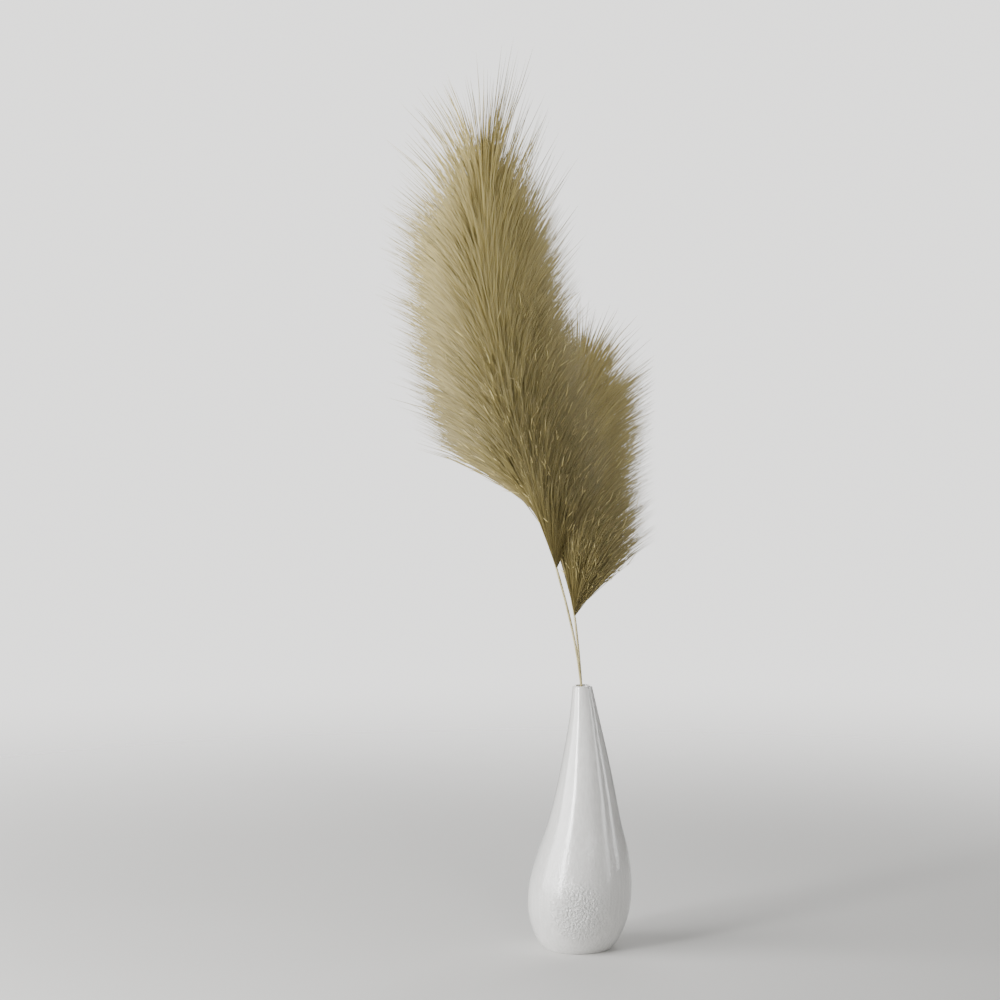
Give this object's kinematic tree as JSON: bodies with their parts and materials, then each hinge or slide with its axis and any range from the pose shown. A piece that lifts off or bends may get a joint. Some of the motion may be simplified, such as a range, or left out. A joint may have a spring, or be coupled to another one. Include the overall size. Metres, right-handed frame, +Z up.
{
  "type": "vase of pampas grass",
  "caption": "Slim leaning teardrop vase of white glazed stoneware holding dried pampas grass: bare stems rise from the narrow mouth and end in long feathery plumes of fine awns.",
  "frame": {"origin": "centre of the vase's flat round foot, on the surface it stands on", "axes": "+Z up, along the standing height; +X to the right and -Y towards the viewer in the usual front view, in which the tall plume leans to -X"},
  "size_m": [0.3159, 0.2906, 1.0227],
  "materials": {
    "white_glaze": "gloss",
    "dry_stalk": "satin",
    "awns": "matte"
  },
  "bodies": {
    "root": {"vase": "white_glaze", "tall_stem": "dry_stalk", "short_stem": "dry_stalk", "tall_plume": "awns", "short_plume": "awns"}
  },
  "joints": []
}
